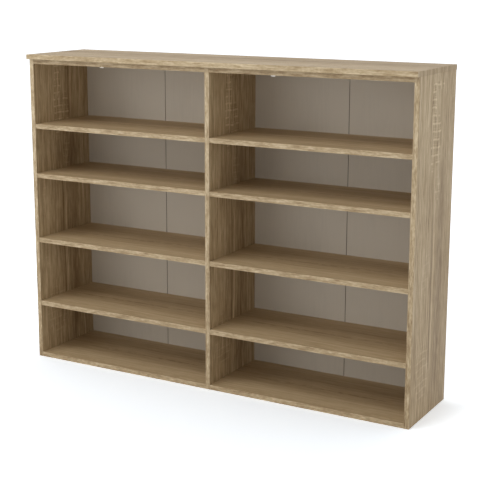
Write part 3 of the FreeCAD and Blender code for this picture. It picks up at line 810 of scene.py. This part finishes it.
def replace_fasteners(name, node, mesh, placing, material):
    """One piece with a copy of the mesh for each solid of the node, placed from the solid's box."""
    form = bmesh.new()
    for low, high in solid_boxes(node):
        copy = mesh.copy()
        copy.transform(placing(low, high))
        form.from_mesh(copy)
        bpy.data.meshes.remove(copy)
    joined = bpy.data.meshes.new(name)
    form.to_mesh(joined)
    form.free()
    joined.shade_smooth()
    joined.set_sharp_from_angle(angle=math.radians(SHARP_ANGLE))
    joined.materials.append(material)
    piece = bpy.data.objects.new(name, joined)
    scene.collection.objects.link(piece)
    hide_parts(node)
    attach(piece, "root")


def crossed(first, second):
    """Two cutters, the second a quarter turn from the first."""
    second.transform(Matrix.Rotation(math.pi / 2, 4, "Z"))
    return [first, second]


def cam_mesh():
    """A die-cast cam: rim, ring groove, cross slot, arrow towards its mouth, and the bolt's way in."""
    slots = crossed(wedge(CAM_SLOT_WIDTH, CAM_SLOT_LENGTH, CAM_SLOT_DEPTH, CAM_SLOT_INSET),
                    wedge(CAM_SLOT_WIDTH, CAM_CROSS_SLOT_LENGTH, CAM_SLOT_DEPTH, CAM_SLOT_INSET))
    arrow = rod(CUTTER_FOOT, ARROW_DEPTH, ARROW_RADIUS)
    arrow.transform(Matrix.Translation(ARROW_PLACE))
    mouth = rod(0, MOUTH_LENGTH, MOUTH_RADIUS)
    mouth.transform(Matrix.Translation(MOUTH_PLACE) @ Matrix.Rotation(math.pi / 2, 4, "Y"))
    return carved(turned(CAM_PROFILE), slots + [arrow, mouth])


def at_cam(low, high):
    """Upright, with its mouth towards the nearest upright board."""
    centre = (low + high) / 2
    outwards = abs(centre.x) > BAY_PITCH / 2
    towards_right = outwards == (centre.x > 0)
    turn = Matrix.Rotation(0 if towards_right else math.pi, 4, "Z")
    return Matrix.Translation((centre.x, centre.y, low.z)) @ turn


def pin_mesh(length):
    """A shelf pin with domed ends and a groove near each."""
    half = length / 2
    end = [(half - back, radius) for back, radius in PIN_END]
    start = [(-height, radius) for height, radius in reversed(end)]
    return turned([(-half, 0)] + start + end + [(half, 0)])


def at_pin(low, high):
    return Matrix.Translation((low + high) / 2) @ Matrix.Rotation(math.pi / 2, 4, "Y")


def screw_mesh(length, head):
    """A cross-head screw that points up, with its head's face at height 0."""
    thread = []
    for turn in range(int((length - PLAIN_LENGTH) / THREAD_PITCH)):
        foot = THREAD_START + turn * THREAD_PITCH
        thread.extend([(foot + height, radius) for height, radius in THREAD_TURN])
    tip = [(length - TIP_LENGTH, TIP_RADIUS), (length, 0)]
    bar = wedge(CROSS_WIDTH, 2 * CROSS_REACH, CROSS_DEPTH, CROSS_INSET)
    return carved(turned(head + thread + tip), crossed(bar, bar.copy()))


def at_screw(low, high):
    centre = (low + high) / 2
    return Matrix.Translation((centre.x, centre.y, low.z))


def nail_mesh():
    """A wire nail that points along -Y, with a low domed head."""
    mesh = turned(NAIL_PROFILE)
    mesh.transform(Matrix.Rotation(-math.pi / 2, 4, "X"))
    return mesh


def at_nail(low, high):
    centre = (low + high) / 2
    return Matrix.Translation((centre.x, high.y - NAIL_HEAD, centre.z))


def make_fasteners():
    plated = zinc("pin_zinc", ZINC_COLOUR, PLATED_ROUGHNESS)
    cast = zinc("cast_zinc", CAST_COLOUR, CAST_ROUGHNESS)
    replace_fasteners("cam_faces", "cam_housings", cam_mesh(), at_cam, cast)
    for node in ("side_shelf_pins", "divider_shelf_pins"):
        replace_fasteners(node + "_round", node, pin_mesh(length_of(node, 0)), at_pin, plated)
    for node, head in (("bracket_screws", DOMED_HEAD), ("top_screws", SUNK_HEAD)):
        replace_fasteners(node + "_round", node, screw_mesh(length_of(node, 2), head), at_screw, plated)
    replace_fasteners("back_nails_round", "back_nails", nail_mesh(), at_nail, plated)


# Camera, floor and light

FLOOR_HALF_SIZE = 60
FLOOR_PAINT = (0.80, 0.80, 0.80)
FLOOR_SHADE = (1.31, 1.38, 1.45)
FLOOR_GLOW = 0.10
FLOOR_GLOW_BESIDE = 0.38
# Where the stronger glow sets in: to the right, to the rear and well in front of the unit.
BESIDE_RIGHT = (0.66, 1.08)
BESIDE_REAR = (0.0, 0.30)
BESIDE_FRONT = (-0.9, -1.6)
SKY_LEVEL = 0.65
LAMP_AIM = (0, 0, 0.6)
# Name, place, width, height and power.
LAMPS = [
    ("key_lamp", (-3.8, -3.6, 3.0), 2.4, 2.0, 54),
    ("high_lamp", (-0.8, -3.0, 5.0), 1.6, 1.6, 30),
    ("front_lamp", (-2.5, -5.5, 1.2), 3.0, 2.4, 25),
    ("side_lamp", (5.0, 3.5, 2.6), 3.0, 2.4, 1),
]


def make_camera():
    camera = bpy.data.objects.new("camera", bpy.data.cameras.new("camera"))
    scene.collection.objects.link(camera)
    camera.data.sensor_width = SENSOR_WIDTH
    camera.data.lens = FOCAL_LENGTH / IMAGE_WIDTH * SENSOR_WIDTH
    camera.data.shift_x = 0.5 - CENTRE_COLUMN / IMAGE_WIDTH
    camera.data.shift_y = CENTRE_ROW / IMAGE_WIDTH - 0.5
    camera.data.clip_end = VIEW_REACH
    turn = Matrix.Rotation(math.radians(CAMERA_AZIMUTH), 4, "Z")
    tilt = Matrix.Rotation(math.radians(90 - CAMERA_DROP), 4, "X")
    roll = Matrix.Rotation(math.radians(CAMERA_ROLL), 4, "Z")
    camera.matrix_world = Matrix.Translation(CAMERA_PLACE) @ turn @ tilt @ roll
    scene.camera = camera


def is_seen(tree):
    """One for rays that show the background: from the camera, by reflection or through glass."""
    rays = tree.nodes.new("ShaderNodeLightPath")
    seen = calc(tree, "MAXIMUM", rays.outputs["Is Camera Ray"], rays.outputs["Is Glossy Ray"])
    return calc(tree, "MAXIMUM", seen, rays.outputs["Is Transmission Ray"])


def paint(tree, colour):
    node = tree.nodes.new("ShaderNodeBsdfDiffuse")
    node.inputs["Color"].default_value = (*colour, 1)
    return node.outputs[0]


def make_floor():
    """White where nothing shades it, with the object's soft shadow."""
    corners = [(x * FLOOR_HALF_SIZE, y * FLOOR_HALF_SIZE, 0) for x, y in SQUARE]
    mesh = bpy.data.meshes.new("floor")
    mesh.from_pydata(corners, [], [(0, 1, 2, 3)])
    floor = bpy.data.objects.new("floor", mesh)
    scene.collection.objects.link(floor)
    material, tree, output = new_material("floor")
    plain = paint(tree, FLOOR_PAINT)
    x, y = object_place(tree)[:2]
    beside = calc(tree, "MAXIMUM", spread(tree, x, *BESIDE_RIGHT), spread(tree, y, *BESIDE_REAR))
    beside = calc(tree, "MAXIMUM", beside, spread(tree, y, *BESIDE_FRONT))
    glow = tree.nodes.new("ShaderNodeEmission")
    feed(tree, glow.inputs["Strength"], choose(tree, beside, FLOOR_GLOW, FLOOR_GLOW_BESIDE))
    lit = tree.nodes.new("ShaderNodeAddShader")
    tree.links.new(paint(tree, FLOOR_SHADE), lit.inputs[0])
    tree.links.new(glow.outputs[0], lit.inputs[1])
    mix = tree.nodes.new("ShaderNodeMixShader")
    tree.links.new(is_seen(tree), mix.inputs[0])
    tree.links.new(plain, mix.inputs[1])
    tree.links.new(lit.outputs[0], mix.inputs[2])
    tree.links.new(mix.outputs[0], output.inputs["Surface"])
    floor.data.materials.append(material)


def make_sky():
    """Even light from all round, and white where it is seen."""
    world = bpy.data.worlds.new("studio")
    scene.world = world
    world.use_nodes = True
    tree = world.node_tree
    tree.nodes.clear()
    output = tree.nodes.new("ShaderNodeOutputWorld")
    background = tree.nodes.new("ShaderNodeBackground")
    background.inputs["Color"].default_value = (1, 1, 1, 1)
    strength = calc(tree, "MULTIPLY_ADD", is_seen(tree), 1.0 - SKY_LEVEL, SKY_LEVEL)
    tree.links.new(strength, background.inputs["Strength"])
    tree.links.new(background.outputs[0], output.inputs["Surface"])


def make_lamp(name, place, width, height, power):
    lamp = bpy.data.lights.new(name, "AREA")
    lamp.shape = "RECTANGLE"
    lamp.size = width
    lamp.size_y = height
    lamp.energy = power
    piece = bpy.data.objects.new(name, lamp)
    scene.collection.objects.link(piece)
    piece.location = place
    piece.rotation_euler = (Vector(LAMP_AIM) - Vector(place)).to_track_quat("-Z", "Y").to_euler()


make_camera()
make_floor()
make_sky()
for row in LAMPS:
    make_lamp(*row)
dress_nodes()
make_fasteners()
scene.view_settings.view_transform = "Standard"
